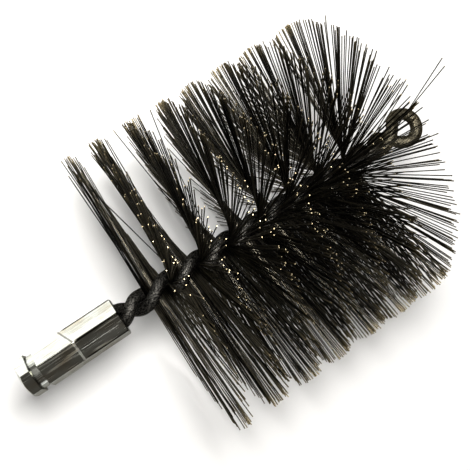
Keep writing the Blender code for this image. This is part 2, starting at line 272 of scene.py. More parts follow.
# Painted sheen: the share of that golden colour grows along the last stretch, towards the tip.
sheen_share = span(tree, stored(tree, "along"), 0, PAINTED_SHEEN_SHARE, start=PAINTED_SHEEN_FROM)
bristle_colour = mix(tree, sheen_share, ramp(tree, brightness, SPRING_STEELS), PAINTED_SHEEN)
join(tree, bristle_colour, shader.inputs["Base Color"])
shader.inputs["Specular Tint"].default_value = SPRING_EDGE_TINT
join(tree, span(tree, marks, ROUGHEST_BRISTLE, SMOOTHEST_BRISTLE), shader.inputs["Roughness"])
print("finish:", bristle_steel.name)

# %% The bristles' cut ends
CUT_STEELS = [(0.36, (0.04, 0.033, 0.02)), (0.58, (0.6, 0.5, 0.32))]
CUT_ROUGHNESS = 0.55
cut_steel, tree, shader, coordinates = new_material("cut_wire_ends")
cut_shine = noise(tree, coordinates, scale=900, detail=1)
join(tree, ramp(tree, cut_shine, CUT_STEELS), shader.inputs["Base Color"])
shader.inputs["Roughness"].default_value = CUT_ROUGHNESS
print("finish:", cut_steel.name)

# %% Zinc plate of the coupling
ZINCS = [(0.3, (0.62, 0.56, 0.45)), (0.55, (0.8, 0.81, 0.76)), (0.8, (0.84, 0.88, 0.76))]
STREAKS = [(0.3, (0.6, 0.57, 0.5)), (0.42, (1, 1, 1))]
# Painted shade: the dark that the zinc's colour turns where its mesh says so, mostly standing in for shade
# and dark reflections along its edges and lower flats, and a little for wear.
WEAR_AND_PAINTED_SHADE_TO = (0.02, 0.018, 0.013, 1)
ZINC_EDGE_TINT = (0.36, 0.36, 0.34, 1)
STREAK_FROM, STREAK_TO = 0.34, 0.5
ROUGH_IN_STREAK, ROUGH_BESIDE_IT, ROUGHER_BY_SCUFF = 0.35, 0.14, 0.5
STREAK_DEPTH, CLOUD_DEPTH = 0.00008, 0.0004
zinc_plate, tree, shader, coordinates = new_material("zinc_plate")
streaks = noise(tree, coordinates, scale=1800, stretch=(0.04, 1, 1), detail=5)
clouds = noise(tree, coordinates, scale=170, stretch=(0.5, 1, 1), detail=3)
streaked = mix(tree, 1.0, ramp(tree, clouds, ZINCS), ramp(tree, streaks, STREAKS), mode="MULTIPLY")
# Painted shade: the zinc's colour is mixed towards that dark by the attribute on the coupling's mesh.
wear_and_painted_shade = mix(tree, stored(tree, "wear_and_painted_shade"), streaked, WEAR_AND_PAINTED_SHADE_TO)
join(tree, wear_and_painted_shade, shader.inputs["Base Color"])
scratches = span(tree, streaks, ROUGH_IN_STREAK, ROUGH_BESIDE_IT, start=STREAK_FROM, end=STREAK_TO)
join(tree, stored(tree, "scuffed") * ROUGHER_BY_SCUFF + scratches, shader.inputs["Roughness"])
shader.inputs["Specular Tint"].default_value = ZINC_EDGE_TINT
streak_dents = bump(tree, streaks, distance=STREAK_DEPTH, strength=0.8)
dents = bump(tree, clouds, distance=CLOUD_DEPTH, strength=0.25, below=streak_dents)
join(tree, dents, shader.inputs["Normal"])
print("finish:", zinc_plate.name)

# %% [markdown]
# ## The stem
# The stem is one wire. A machine folds it over a pin, which leaves the eye, lays the bristles between
# the two legs, and turns the legs together until they hold. Its middle line follows a rule: a helix
# whose twist eases off near the eye, opening along a straight taper into a round. The route is worked
# out from that rule, and a Geometry Nodes tree then sweeps a circle along it, much as a die draws wire.

# %% How far the legs have turned and opened at each height
BARE_LEG_RADIUS = 0.00262
CLAMPED_LEG_RADIUS = 0.003
LEG_SPREAD_LENGTH = 0.0025
BARE_TWIST_PITCH = 0.02
HALF_TURNS_TO_EYE = 9.5
TWIST_EASE_LENGTH = 0.006
EYE_RADIUS = 0.0061
EYE_REACH = 0.0034
EYE_TAPER = math.radians(40)
EYE_BLEND_LENGTH = 0.002
CLAMP_START = FIRST_BRISTLE - LEG_SPREAD_LENGTH
CLAMP_END = LAST_BRISTLE + LEG_SPREAD_LENGTH
TIGHTENING = TWIST_PITCH / BARE_TWIST_PITCH
NECK = CLAMP_END + (HALF_TURNS_TO_EYE * HALF_PITCH - CLAMP_END) / TIGHTENING
EYE_CENTRE = NECK + EYE_REACH
EYE_TOUCH = EYE_CENTRE - EYE_RADIUS * math.sin(EYE_TAPER)
EASE_START = NECK - TWIST_EASE_LENGTH / 2
FULL_TWIST_RATE = -math.tau / TWIST_PITCH


def clamp(value):
    """The value, kept between 0 and 1."""
    return min(max(value, 0), 1)


def gentle(share):
    """A share from 0 to 1 that starts and ends gently."""
    return share**2 * (3 - 2 * share)


def twist_at(height):
    """How far the legs have turned at this height, left-handed. The bare stretches at both ends are
    twisted tighter than the one that holds bristles, and the twist fades out at the eye."""
    beyond = min(max(height - EASE_START, 0), TWIST_EASE_LENGTH)
    eased = min(height, EASE_START) + beyond - beyond**2 / (2 * TWIST_EASE_LENGTH)
    clamped = min(max(eased, CLAMP_START), CLAMP_END)
    return FULL_TWIST_RATE * (clamped + (eased - clamped) * TIGHTENING)


def leg_radius_at(height):
    """How far a leg's middle lies from the axis: close when bare, wider round the bristles, and then
    out along a straight taper to the eye."""
    inside = min(height - CLAMP_START, CLAMP_END - height)
    spread = gentle(clamp(inside / LEG_SPREAD_LENGTH))
    clamped = BARE_LEG_RADIUS + (CLAMPED_LEG_RADIUS - BARE_LEG_RADIUS) * spread
    slope = math.tan(EYE_TAPER)
    bend = EYE_TOUCH - (EYE_RADIUS * math.cos(EYE_TAPER) - BARE_LEG_RADIUS) / slope
    past = height - bend + EYE_BLEND_LENGTH
    if past <= 0:
        return clamped
    if past < 2 * EYE_BLEND_LENGTH:
        return clamped + slope * past**2 / (4 * EYE_BLEND_LENGTH)
    return clamped + slope * (height - bend)


print(f"half turns from the first tuft to the eye: {-twist_at(EYE_CENTRE) / math.pi:.2f}")

# %% The route of the wire, from one end to the other
STEM_POINTS_PER_TURN = 60
EYE_POINTS = 40
END_SLOPE = math.atan(math.tau * BARE_LEG_RADIUS / BARE_TWIST_PITCH)
stem_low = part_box("stem_wire")[0]
stem_foot = stem_low.x - AXIS_X + WIRE_RADIUS * math.sin(END_SLOPE)


def steps(first, last, count):
    """Evenly spaced values from first to last, with both."""
    return [first + (last - first) * step / count for step in range(count + 1)]


def stem_route():
    """Up one leg, round the eye, and down the other leg."""
    count = round((EYE_TOUCH - stem_foot) / TWIST_PITCH * STEM_POINTS_PER_TURN)
    heights = steps(stem_foot, EYE_TOUCH, count)
    # The legs lie square to the layer of bristles, a quarter turn from it.
    up = [place(h, leg_radius_at(h), twist_at(h) - math.pi / 2) for h in heights]
    down = [place(h, leg_radius_at(h), twist_at(h) + math.pi / 2) for h in reversed(heights)]
    rounded = []
    for angle in steps(-EYE_TAPER, math.pi + EYE_TAPER, EYE_POINTS)[1:-1]:
        height = EYE_CENTRE + EYE_RADIUS * math.sin(angle)
        rounded.append(place(height, EYE_RADIUS * math.cos(angle), twist_at(height) - math.pi / 2))
    return up + rounded + down


def poly_curve(name, points):
    """A curve straight from point to point."""
    curve = bpy.data.curves.new(name, "CURVE")
    curve.dimensions = "3D"
    spline = curve.splines.new("POLY")
    spline.points.add(len(points) - 1)
    for target, point in zip(spline.points, points):
        target.co = (*point, 1)
    return curve


route = stem_route()
wire_length = sum((b - a).length for a, b in zip(route, route[1:]))
print(f"wire length {1000 * wire_length:.0f} mm in {len(route)} points")

# %% Helpers that start a tree, run it and hand over the piece
def new_tree(name, sockets):
    """A Geometry Nodes tree with these inputs, given as (name, kind, value), and one geometry output."""
    tree = bpy.data.node_groups.new(name, "GeometryNodeTree")
    tree.interface.new_socket("Geometry", in_out="OUTPUT", socket_type="NodeSocketGeometry")
    for label, kind, value in sockets:
        socket = tree.interface.new_socket(label, in_out="INPUT", socket_type="NodeSocket" + kind)
        if value is not None:
            socket.default_value = value
    return tree


def bake(name, tree, values, start=None):
    """Runs a tree on a new object with these inputs, and keeps the result as a plain mesh."""
    holder = bpy.data.objects.new(name, start or bpy.data.meshes.new(name))
    bpy.context.scene.collection.objects.link(holder)
    modifier = holder.modifiers.new("shape", "NODES")
    modifier.node_group = tree
    for item in tree.interface.items_tree:
        if item.in_out == "INPUT" and item.name in values:
            modifier[item.identifier] = values[item.name]
    graph = bpy.context.evaluated_depsgraph_get()
    mesh = bpy.data.meshes.new_from_object(holder.evaluated_get(graph))
    bpy.data.objects.remove(holder)
    mesh.name = name
    piece = bpy.data.objects.new(name, mesh)
    bpy.context.scene.collection.objects.link(piece)
    return piece


def dress(piece, slot, *nodes):
    """The finished piece stands for these nodes of the model, and moves with its one body."""
    if nodes:
        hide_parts(*nodes)
    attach(piece, "root")


print("helpers for pieces ready")

# %% A tree that sweeps a wire along a route
def sweep(tree, curve, sides, radius):
    """A round wire along a curve, closed at its ends, as real geometry."""
    inputs = {"Resolution": sides, "Radius": radius}
    circle = add_node(tree, "GeometryNodeCurvePrimitiveCircle", inputs=inputs)
    inputs = {"Curve": curve, "Profile Curve": circle.outputs["Curve"], "Fill Caps": True}
    swept = add_node(tree, "GeometryNodeCurveToMesh", inputs=inputs)
    inputs = {"Geometry": swept.outputs["Mesh"]}
    return add_node(tree, "GeometryNodeRealizeInstances", inputs=inputs).outputs["Geometry"]


def set_material(tree, geometry, material, selection=True):
    """Geometry whose selected faces have this material."""
    inputs = {"Geometry": geometry, "Selection": selection, "Material": material}
    return add_node(tree, "GeometryNodeSetMaterial", inputs=inputs).outputs["Geometry"]


wire_tree = new_tree("wire along a route", [
    ("Geometry", "Geometry", None),
    ("Wire Radius", "Float", 0.001),
    ("Sides", "Int", 12),
    ("Finish", "Material", None),
])
given = add_node(wire_tree, "NodeGroupInput").outputs
wire = sweep(wire_tree, given["Geometry"], given["Sides"], given["Wire Radius"])
finished = set_material(wire_tree, wire, given["Finish"])
add_node(wire_tree, "NodeGroupOutput", inputs={"Geometry": finished})
print("tree:", wire_tree.name)

# %% The stem itself
STEM_SIDES = 24
STEM_SHARP_FROM = math.radians(50)
values = {"Wire Radius": WIRE_RADIUS, "Sides": STEM_SIDES, "Finish": stem_steel}
stem = bake("twisted_stem", wire_tree, values, poly_curve("stem_route", route))
stem.data.shade_smooth()
stem.data.set_sharp_from_angle(angle=STEM_SHARP_FROM)
dress(stem, "dark_steel_wire", "stem_wire")
print("twisted_stem:", len(stem.data.polygons), "faces")

# %% [markdown]
# ## The bristles
# Straight wires lie side by side between the legs. When the legs are twisted, each wire turns with
# them, so the row becomes a two-bladed screw. Seen from above, a blade that points up or down the
# picture makes a tuft, and one that points at the camera makes a fan of bright cut ends. The brush is
# then trimmed in a lathe, so every straight bristle ends at the same distance from the axis.
#
# One strand could be copied by instances, but every strand is bent a little differently, so the tree
# duplicates a line of a few points and moves each point by a formula: its place along the strand, the
# height at which the strand sits, the twist there, and a few random numbers of its own. Each wire, or
# filament, is clamped by its middle, so it gives two strands, one on each side of the stem.

# %% The inputs of one flight's tree
POINTS_ALONG = 5
bristle_tree = new_tree("flight of bristles", [
    ("First", "Float", None),
    ("Last", "Float", None),
    ("Filaments", "Int", None),
    ("Filament Radius", "Float", 0.00021),
    ("Sides", "Int", 5),
    ("Brush Radius", "Float", 0.062),
    ("Trim Scatter", "Float", 0.0008),
    ("Layer Thickness", "Float", 0.0009),
    ("Root Length", "Float", 0.0035),
    ("Lean per Metre", "Float", None),
    ("Far Side Lean", "Float", 0.0),
    ("Up Side Lean", "Float", None),
    ("Lean Scatter", "Float", None),
    ("Fan Scatter", "Float", 0.06),
    ("Stray Share", "Float", 0.03),
    ("Bow", "Float", 0.0008),
    ("Twist Rate", "Float", None),
    ("Axis X", "Float", None),
    ("Axis Z", "Float", None),
    ("Seed", "Int", None),
    ("Wire Finish", "Material", None),
    ("Cut Finish", "Material", None),
])
given = add_node(bristle_tree, "NodeGroupInput").outputs
size = {socket.name: Formula(bristle_tree, socket) for socket in given if socket.name}
print("inputs of a flight:", len(size))

# %% One line of a few points for each strand
line = add_node(bristle_tree, "GeometryNodeCurvePrimitiveLine", inputs={"End": (1, 0, 0)})
inputs = {"Curve": line.outputs["Curve"], "Count": POINTS_ALONG}
dotted = add_node(bristle_tree, "GeometryNodeResampleCurve", inputs=inputs)
inputs = {"Geometry": dotted.outputs["Curve"], "Amount": size["Filaments"] * 2}
copies = add_node(bristle_tree, "GeometryNodeDuplicateElements", {"domain": "SPLINE"}, inputs)
strand = Formula(bristle_tree, copies.outputs["Duplicate Index"])
filament = (strand / 2).math("FLOOR")
# 1 for the first strand of a filament, and -1 for its second, across the stem.
side = (strand - filament * 2) * -2 + 1
factor = Formula(bristle_tree, add_node(bristle_tree, "GeometryNodeSplineParameter").outputs["Factor"])
# Squared, so that the points lie closer together near the root.
along = factor * factor

# Each draw has a number of its own, which sets it apart. A scatter takes the next number too.
SEAT, STRAY, FAN, LEAN, TRIM, BOW_ALONG, LAYER, BOW_ACROSS, TONE = 1, 3, 5, 7, 11, 13, 17, 19, 23


def chance(owner, draw):
    """A random number from 0 to 1, the same for all points of a strand or of a filament."""
    inputs = {"ID": owner, "Seed": size["Seed"] + draw}
    node = add_node(bristle_tree, "FunctionNodeRandomValue", {"data_type": "FLOAT"}, inputs)
    return Formula(bristle_tree, shown(node.outputs, "Value"))


def scatter(owner, draw):
    """A random number from -1 to 1, most often near 0."""
    return chance(owner, draw) + chance(owner, draw + 1) - 1


print("each strand is a line of", POINTS_ALONG, "points")

# %% Where each strand sits, and how far it has turned and leans
STRAYS_SCATTER_BY = 4
share = (filament + chance(filament, SEAT)) / size["Filaments"]
height = size["First"] + (size["Last"] - size["First"]) * share
strayed = chance(strand, STRAY).math("LESS_THAN", size["Stray Share"])
wilder = strayed * (STRAYS_SCATTER_BY - 1) + 1
turn = height * size["Twist Rate"] + scatter(strand, FAN) * size["Fan Scatter"] * wilder
sine, cosine = turn.math("SINE"), turn.math("COSINE")
far, up = (side * cosine).at_least(0), (side * sine).at_least(0)
steady = height * size["Lean per Metre"] * (far * -1 + 1) + size["Far Side Lean"] * far
steady = steady + height * height * size["Up Side Lean"] * up
lean = steady + scatter(strand, LEAN) * size["Lean Scatter"] * wilder
print("nodes after the leans:", len(bristle_tree.nodes))

# %% The length of each strand: trimmed to a circle, and flat where the brush lies on the floor
# A strand whose tip drops by less than this share of its length stays clear of the floor.
REACHES_FLOOR_FROM = 0.5
trimmed = (size["Brush Radius"] - chance(strand, TRIM) * size["Trim Scatter"]) / steady.math("COSINE")
downward = side * sine * lean.math("COSINE") * -1
length = trimmed.at_most(size["Axis Z"] / downward.at_least(REACHES_FLOOR_FROM))
distance = along * length
rooted = distance.at_most(size["Root Length"])
free = distance - rooted
radial = rooted + free * lean.math("COSINE")
axial = free * lean.math("SINE") + along * along * scatter(strand, BOW_ALONG) * size["Bow"]
across = (chance(strand, LAYER) - 0.5) * size["Layer Thickness"]
across = across + along * along * scatter(strand, BOW_ACROSS) * size["Bow"]
print("nodes after the lengths:", len(bristle_tree.nodes))

# %% Each point's place, and a round wire with a cut end
CUT_FROM = 0.99
position = add_node(bristle_tree, "ShaderNodeCombineXYZ", inputs={
    "X": size["Axis X"] + height + axial,
    "Y": side * radial * cosine - across * sine,
    "Z": size["Axis Z"] + side * radial * sine + across * cosine,
})
inputs = {"Geometry": copies.outputs["Geometry"], "Position": position.outputs["Vector"]}
marked = add_node(bristle_tree, "GeometryNodeSetPosition", inputs=inputs)
per_point = {"data_type": "FLOAT", "domain": "POINT"}
for name, value in (("along", along), ("tone", chance(strand, TONE))):
    inputs = {"Geometry": marked.outputs["Geometry"], "Name": name, "Value": value}
    marked = add_node(bristle_tree, "GeometryNodeStoreNamedAttribute", per_point, inputs)
wires = sweep(bristle_tree, marked.outputs["Geometry"], size["Sides"], size["Filament Radius"])
wires = set_material(bristle_tree, wires, size["Wire Finish"])
read = add_node(bristle_tree, "GeometryNodeInputNamedAttribute", {"data_type": "FLOAT"}, {"Name": "along"})
at_end = Formula(bristle_tree, read.outputs["Attribute"]).math("GREATER_THAN", CUT_FROM)
wires = set_material(bristle_tree, wires, size["Cut Finish"], selection=at_end)
add_node(bristle_tree, "NodeGroupOutput", inputs={"Geometry": wires})
print("tree:", bristle_tree.name, "with", len(bristle_tree.nodes), "nodes")

# %% [markdown]
# ## Eight flights, and four strays
# Half a turn of the twist makes one tuft on each side of the stem, and one flight of the model. The
# first flight is thin, because the machine had just started to feed wire, and the next ones fill up.
#
# A used brush doesn't stand quite straight. All its bristles lean a little towards the eye, more so
# the nearer they are to it, and those that point up lean most, which opens the last tuft into a fan.
# The tufts on the far side were each pushed over by a different angle. Every such habit is an input of
# the tree, and the lists below hold its value for each flight. Past the last flight, four bristles
# have slipped along the stem and cross the eye.

# %% The flights
FILAMENTS_PER_FLIGHT = [56, 150, 165, 170, 175, 185, 190, 118]
FAR_SIDE_LEANS = [math.radians(a) for a in (1.3, -1.4, -0.2, 0.4, -1.5, -0.7, -1.0, 3.1)]
LEAN_SCATTERS = [0.05, 0.06, 0.065, 0.055, 0.05, 0.06, 0.055, 0.06]
LEAN_AT_LAST_TUFT = math.radians(4.7)
# A strand that points up leans more by this much times its height squared, in radians and metres.
UP_SIDE_LEAN = 11
SEED_STEP = 100
shared = {
    "Lean per Metre": LEAN_AT_LAST_TUFT / LAST_BRISTLE,
    "Up Side Lean": UP_SIDE_LEAN,
    "Twist Rate": FULL_TWIST_RATE,
    "Axis X": AXIS_X,
    "Axis Z": AXIS_Z,
    "Wire Finish": bristle_steel,
    "Cut Finish": cut_steel,
}


def bristles(name, values, *nodes):
    """A piece made of bristles, which stands for these nodes of the model, if any."""
    piece = bake(name, bristle_tree, {**shared, **values})
    piece.data.shade_smooth()
    dress(piece, "bristle_steel", *nodes)
    print(piece.name, 2 * values["Filaments"], "strands,", len(piece.data.polygons), "faces")


for tuft, filaments in enumerate(FILAMENTS_PER_FLIGHT):
    own = {
        "First": max(FIRST_BRISTLE, (tuft - 0.5) * HALF_PITCH),
        "Last": min(LAST_BRISTLE, (tuft + 0.5) * HALF_PITCH),
        "Filaments": filaments,
        "Far Side Lean": FAR_SIDE_LEANS[tuft],
        "Lean Scatter": LEAN_SCATTERS[tuft],
        "Seed": SEED_STEP * tuft,
    }
    bristles(f"bristles_{tuft + 1}", own, f"bristle_flight_{tuft + 1}")

# %% Bristles that slipped along the stem, towards the eye
# Each pair has the height of its first wire, the distance to its second, and how far both are turned.
STRAYS = [(0.1035, 0.0008, math.radians(77)), (0.1165, 0.003, math.radians(-100))]
STRAY_SEED = 900
straight = {
    "Lean per Metre": 0,
    "Up Side Lean": 0,
    "Fan Scatter": 0.02,
    "Lean Scatter": 0.01,
    "Stray Share": 0,
    "Filaments": 2,
}
for number, (first, apart, turned) in enumerate(STRAYS):
    own = {"First": first, "Last": first + apart, "Twist Rate": turned / first, "Seed": STRAY_SEED + number}
    bristles(f"stray_bristles_{number + 1}", {**straight, **own})

# %% [markdown]
# ## The coupling
# The coupling is a piece of hex bar. A lathe has chamfered its foot, turned a groove round it, and
# drilled and tapped it for the rod; a press has then squeezed the other half on the stem with a six
# sided die, which leaves a step and a shallow crease down the middle of each flat. The die has two
# jaws, and where they meet, the step lies nearer to the foot. All of that is round or six sided, so the
# skin is a stack of rings: each ring is a height, here counted from the coupling's foot, and a rule that
# gives the radius at each angle. One closed stack runs from the drill's point along the thread to the
# foot, then over the outside, and into the socket that holds the stem. Two more rules say where the
# zinc is painted dark, mostly as painted shade and painted dark reflection and a little as wear, and
# where it is dull.

# %% Sizes of the coupling
ACROSS_FLATS = 0.015
FLAT = ACROSS_FLATS / 2
COUPLING_TURN = math.radians(107)
CORNER_ROUND = 0.0004
FOOT_FACE_RADIUS = 0.0071
FOOT_CHAMFER = math.radians(30)
COLLAR_LENGTH = 0.0045
GROOVE_WIDTH = 0.0031
GROOVE_RADIUS = 0.0069
CRIMP_LENGTH = 0.0188
CRIMP_FLAT = 0.0073
CRIMP_DISH = 0.00015
CRIMP_STEP = 0.001
JAW_REACH = 0.0032
CRIMP_END_ROUND = 0.0016
BORE_RADIUS = 0.0051
BORE_DEPTH = 0.0195
THREAD_PITCH = 0.00175
THREAD_DEPTH = 0.00085
THREAD_LENGTH = 0.0185
COUNTERSINK = 0.00105
THREAD_CREST = 0.14
THREAD_FLANKS = 0.76
DRILL_POINT = 0.0015
SOCKET_CLEARANCE = 0.0003
SOCKET_RADIUS = BARE_LEG_RADIUS + WIRE_RADIUS + SOCKET_CLEARANCE
SOCKET_CHAMFER = 0.0003
SOCKET_DEPTH = 0.018
# Places along the coupling, counted from its foot, and the turn from one flat to the next.
CHAMFER_TOP = 0.001
GROOVE_TOP = COLLAR_LENGTH + GROOVE_WIDTH
CRIMP_FOOT = COUPLING_LENGTH - CRIMP_LENGTH
END_ROUND_FOOT = COUPLING_LENGTH - CRIMP_END_ROUND
SOCKET_FLOOR = COUPLING_LENGTH - SOCKET_DEPTH
SIDE = math.pi / 3
# The rings on the groove's walls lie this close together.
HAIR = 0.00002
print(f"bar {1000 * ACROSS_FLATS:.0f} mm across flats, crimped for {1000 * CRIMP_LENGTH:.1f} mm")

# %% The hexagon of the bar, and the one that the die leaves
def from_flat(angle):
    """The angle from the middle of the nearest flat, up to 30 degrees."""
    return abs((angle - COUPLING_TURN + SIDE / 2) % SIDE - SIDE / 2)


def hexagon(angle, flat):
    """A hexagon with rounded corners."""
    off = from_flat(angle)
    inner = flat - CORNER_ROUND
    if math.tan(off) * flat < inner * math.tan(SIDE / 2):
        return flat / math.cos(off)
    centre = inner / math.cos(SIDE / 2)
    lateral = centre * math.sin(SIDE / 2 - off)
    return centre * math.cos(SIDE / 2 - off) + math.sqrt(max(0, CORNER_ROUND**2 - lateral**2))


def crimped(angle):
    """The hexagon that the die leaves, each flat dished to a crease in its middle."""
    share = math.tan(from_flat(angle)) / math.tan(SIDE / 2)
    return hexagon(angle, CRIMP_FLAT) - CRIMP_DISH * (1 - share)


corner = COUPLING_TURN + SIDE / 2
print(f"corners {1000 * hexagon(corner, FLAT):.2f} mm off the axis, crimped {1000 * crimped(corner):.2f} mm")

# %% The bore with its thread
def threaded(height, angle):
    """The bore with its right-handed thread, which runs out before the bore's end."""
    phase = (height / THREAD_PITCH - angle / math.tau) % 1
    groove = clamp((abs(2 * phase - 1) - THREAD_CREST) / THREAD_FLANKS)
    runout = clamp((THREAD_LENGTH - height) / THREAD_PITCH)
    return max(BORE_RADIUS + THREAD_DEPTH * groove * runout, BORE_RADIUS + COUNTERSINK - height)


print(f"thread of {1000 * THREAD_PITCH:.2f} mm pitch, {1000 * THREAD_LENGTH:.1f} mm deep")

# %% The outside, and how far the press moves it
def between(height, low, high):
    """Whether a ring lies on this stretch. A ring on one of its ends doesn't."""
    return low + HAIR / 2 < height < high - HAIR / 2


def outside(height, angle):
    """The bar's outside, chamfered, turned, crimped and rounded at its end."""
    bar = hexagon(angle, FLAT)
    squeeze = gentle(clamp((height - CRIMP_FOOT) / CRIMP_STEP + 1))
    radius = bar + (crimped(angle) - bar) * squeeze
    radius = min(radius, FOOT_FACE_RADIUS + height / math.tan(FOOT_CHAMFER))
    if between(height, COLLAR_LENGTH, GROOVE_TOP):
        radius = min(radius, GROOVE_RADIUS)
    top = COUPLING_LENGTH - height
    if top < CRIMP_END_ROUND:
        rise = CRIMP_END_ROUND - top
        fall = CRIMP_END_ROUND - math.sqrt(CRIMP_END_ROUND**2 - rise**2)
        radius = min(radius, FLAT / math.cos(SIDE / 2) - fall)
    return radius


def pressed_to(height, angle):
    """Where the press leaves a point of the outside. The die has two jaws, and the squeeze reaches
    further where they meet, so the rings near its step are drawn towards the foot there."""
    if not between(height, GROOVE_TOP, END_ROUND_FOOT):
        return height
    from_middle = abs((angle - COUPLING_TURN + math.pi) % math.tau - math.pi)
    share = max(0, 1 - abs(from_middle - math.pi / 2) / SIDE)
    below = (height - GROOVE_TOP) / (CRIMP_FOOT - CRIMP_STEP - GROOVE_TOP)
    above = (END_ROUND_FOOT - height) / (END_ROUND_FOOT - CRIMP_FOOT)
    return height - JAW_REACH * share * min(below, above, 1)


print(f"the step lies {1000 * JAW_REACH:.1f} mm nearer to the foot where the jaws meet")

# %% Where the zinc is painted dark, as shade and a little wear, and where it is dull
# Painted shade and painted dark reflection: the zinc's colour is darkened along the crimp's corners and rim,
# at the groove's wall on the foot's side, in the die's step and on the three lower flats, which mirror the
# floor's shadow. WORN_BY_DIE is a little wear over the rest of the crimp.
PAINTED_DARK_CORNER_FROM = math.radians(27.3)
PAINTED_SHADE_WALL, PAINTED_DARK_RIM = 0.0001, CRIMP_END_ROUND / 4
PAINTED_SHADE_ON_WALL, PAINTED_SHADE_IN_STEP, WORN_BY_DIE, PAINTED_SHADE_ON_LOWER_FLATS = 0.8, 0.55, 0.1, 0.7
LOWER_FLATS_MARGIN = math.radians(0.2)
LOWER_FLATS_FROM = COUPLING_TURN + SIDE / 2 + LOWER_FLATS_MARGIN
LOWER_FLATS_SPAN = math.pi - 2 * LOWER_FLATS_MARGIN
CREASE_WIDTH = math.radians(0.5)
STEP_SCUFF, GROOVE_SCUFF = 0.5, 0.1


def wear_and_painted_shade_at(height, angle):
    """How dark the zinc is painted: most along the crimped corners and the rim that the die pressed, as
    painted dark reflection, less on the three lower flats, at the die's step and on the foot's side of
    the groove, as painted shade, and a little over the rest of the crimp, as wear."""
    if (angle - LOWER_FLATS_FROM) % math.tau < LOWER_FLATS_SPAN:
        return PAINTED_SHADE_ON_LOWER_FLATS
    if abs(height - COLLAR_LENGTH) < PAINTED_SHADE_WALL:
        return PAINTED_SHADE_ON_WALL
    if between(height, CRIMP_FOOT - CRIMP_STEP, CRIMP_FOOT):
        return PAINTED_SHADE_IN_STEP
    if height < CRIMP_FOOT + HAIR:
        return 0.0
    at_edge = from_flat(angle) > PAINTED_DARK_CORNER_FROM or COUPLING_LENGTH - height < PAINTED_DARK_RIM
    return 1.0 if at_edge else WORN_BY_DIE


def scuff_at(height, angle):
    """How dull the zinc is: all along the creases that the die leaves, and a little on its step and in
    the groove."""
    if between(height, COLLAR_LENGTH, GROOVE_TOP):
        return GROOVE_SCUFF
    if between(height, CRIMP_FOOT - CRIMP_STEP, CRIMP_FOOT):
        return STEP_SCUFF
    in_crease = from_flat(angle) < CREASE_WIDTH and between(height, CRIMP_FOOT, END_ROUND_FOOT)
    return 1.0 if in_crease else 0.0


# The dark along the corners is painted dark reflection.
print(f"the corners are worn over {30 - math.degrees(PAINTED_DARK_CORNER_FROM):.1f} degrees on each side")

# %% The stack of rings
THREAD_RINGS = 160
# Angles from the middle of a flat to its corner, closer together where the surface bends.
off_middle = [math.radians(a) for a in (0, 1, 5, 9, 13, 17, 20, 23, 25.5, 27.5, 28.7, 29.1, 29.5, 30)]
angles = sorted({round((COUPLING_TURN + k * SIDE + sign * a) % math.tau, 9)
                 for k in range(6) for sign in (-1, 1) for a in off_middle})
# Each stretch goes from one height to another in so many steps.
heights = steps(0, CHAMFER_TOP, 12)
heights += steps(CHAMFER_TOP, COLLAR_LENGTH - 2 * HAIR, 8)[1:]
heights += [COLLAR_LENGTH + HAIR]
heights += steps(COLLAR_LENGTH + 2 * HAIR, GROOVE_TOP - 2 * HAIR, 4)
heights += [GROOVE_TOP - HAIR]
heights += steps(GROOVE_TOP + HAIR, CRIMP_FOOT - CRIMP_STEP, 8)
heights += steps(CRIMP_FOOT - CRIMP_STEP, CRIMP_FOOT, 6)[1:]
heights += steps(CRIMP_FOOT, END_ROUND_FOOT, 12)[1:]
end_angles = steps(0, math.pi / 2, 10)[1:]
heights += [COUPLING_LENGTH - CRIMP_END_ROUND * (1 - math.sin(a)) for a in end_angles]
thread_heights = steps(BORE_DEPTH, 0, THREAD_RINGS)
print(f"coupling: {len(angles)} angles, {len(heights)} rings outside, {len(thread_heights)} in the bore")

# %% The coupling's points and faces
bore = [(h, threaded(h, a), a) for h in thread_heights for a in angles]
skin = [(pressed_to(h, a), outside(h, a), a) for h in heights for a in angles]
socket_rings = [(COUPLING_LENGTH, SOCKET_RADIUS + SOCKET_CHAMFER)]
socket_rings += [(h, SOCKET_RADIUS) for h in (COUPLING_LENGTH - SOCKET_CHAMFER, SOCKET_FLOOR)]
socket = [(h, radius, a) for h, radius in socket_rings for a in angles]
middles = [(BORE_DEPTH + DRILL_POINT, 0, 0), (SOCKET_FLOOR, 0, 0)]
points = [place(COUPLING_FOOT + h, radius, a) for h, radius, a in bore + skin + socket + middles]
drill_tip, floor_middle = len(points) - 2, len(points) - 1
count = len(angles)
last_ring = drill_tip - count
faces = []
for low in range(0, last_ring, count):
    for k in range(count):
        high, after = low + count, (k + 1) % count
        faces.append((low + k, low + after, high + after, high + k))
for k in range(count):
    after = (k + 1) % count
    faces += [(drill_tip, after, k), (floor_middle, last_ring + k, last_ring + after)]
print(len(points), "points and", len(faces), "faces")

# %% The coupling itself
COUPLING_SHARP_FROM = math.radians(28)
mesh = bpy.data.meshes.new("hex_bar_coupling")
mesh.from_pydata(points, [], faces)
# The first attribute holds painted shade, with a little wear; the second says how dull the zinc is.
for name, rule in (("wear_and_painted_shade", wear_and_painted_shade_at), ("scuffed", scuff_at)):
    values = [0.0] * len(bore) + [rule(h, a) for h in heights for a in angles]
    values += [0.0] * (len(points) - len(values))
    mesh.attributes.new(name, "FLOAT", "POINT").data.foreach_set("value", values)
mesh.materials.append(zinc_plate)
mesh.shade_smooth()
mesh.set_sharp_from_angle(angle=COUPLING_SHARP_FROM)
coupling = bpy.data.objects.new("hex_bar_coupling", mesh)
bpy.context.scene.collection.objects.link(coupling)
dress(coupling, "zinc_plated_steel", "hex_coupling")
print("hex_bar_coupling:", len(mesh.polygons), "faces")

